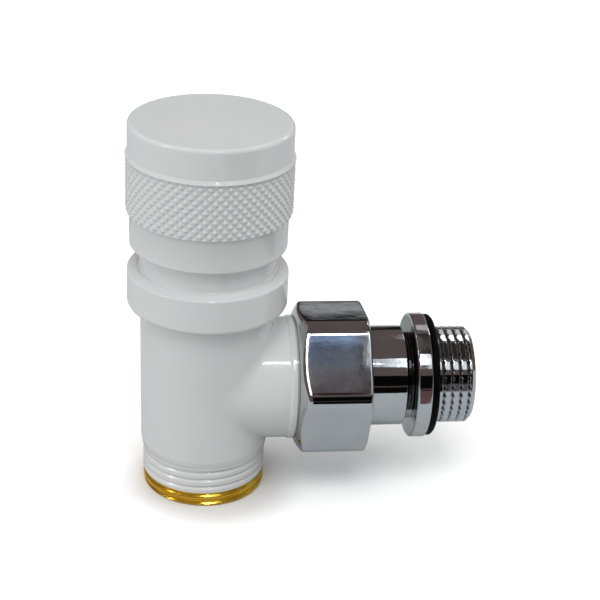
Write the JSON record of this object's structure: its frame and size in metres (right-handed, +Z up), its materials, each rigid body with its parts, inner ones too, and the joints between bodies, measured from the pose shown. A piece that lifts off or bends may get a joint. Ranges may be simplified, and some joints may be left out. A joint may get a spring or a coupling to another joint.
{
  "type": "manual radiator valve",
  "caption": "Angle-pattern manual radiator valve: white upright body with a knurled handwheel that lifts a hidden disc, and a chromed union nut and threaded tail on its side branch.",
  "frame": {"origin": "centre of the inlet's end face, on the valve axis", "axes": "+Z up the valve axis to the handwheel, +X along the branch towards the tail, the picture's viewer on the -Y side"},
  "size_m": [0.0747, 0.0348, 0.083],
  "materials": {
    "white_lacquer": "gloss white lacquer on brass, bare brass at the inlet's end",
    "bare_brass": "turned",
    "chrome_plate": "polished chrome plate on brass",
    "spring_steel": "bright",
    "black_rubber": "matt",
    "gland_plastic": "matt"
  },
  "bodies": {
    "valve_body": {"valve_body": "white_lacquer", "headwork_bonnet": "bare_brass", "bonnet_seal": "black_rubber", "spindle_o_ring_lower": "black_rubber", "spindle_o_ring_upper": "black_rubber", "gland_washer": "gland_plastic", "gland_nut": "bare_brass"},
    "valve_disc": {"disc_holder": "bare_brass", "disc_seal": "black_rubber", "disc_washer": "bare_brass", "disc_screw": "spring_steel", "swivel_ring": "spring_steel"},
    "handwheel": {"handwheel": "white_lacquer", "handwheel_hub": "bare_brass", "handwheel_clip": "spring_steel", "spindle": "bare_brass"},
    "tail": {"tail_piece": "chrome_plate", "nut_retaining_ring": "bare_brass", "tail_o_ring": "black_rubber", "flange_seal": "black_rubber"},
    "union_nut": {"union_nut": "chrome_plate"}
  },
  "joints": [
    {"name": "disc_lift", "type": "slide", "parent": "valve_body", "child": "valve_disc", "axis": [0, 0, 1], "range_m": [-0.0045, 0]},
    {"name": "handwheel_turn", "type": "hinge", "parent": "valve_disc", "child": "handwheel", "pos_m": [0, 0, 0.06], "axis": [0, 0, 1], "range_deg": [-1080, 0]},
    {"name": "tail_draw", "type": "slide", "parent": "valve_body", "child": "tail", "axis": [1, 0, 0], "range_m": [0, 0.00726]},
    {"name": "union_nut_turn", "type": "hinge", "parent": "tail", "child": "union_nut", "pos_m": [0.0325, 0, 0.0244], "axis": [1, 0, 0], "range_deg": [0, 1440]}
  ],
  "couplings": [
    {"joint": "handwheel_turn", "follows": "disc_lift", "rad_per_m": 4188.8},
    {"joint": "union_nut_turn", "follows": "tail_draw", "rad_per_m": 3463.7}
  ]
}
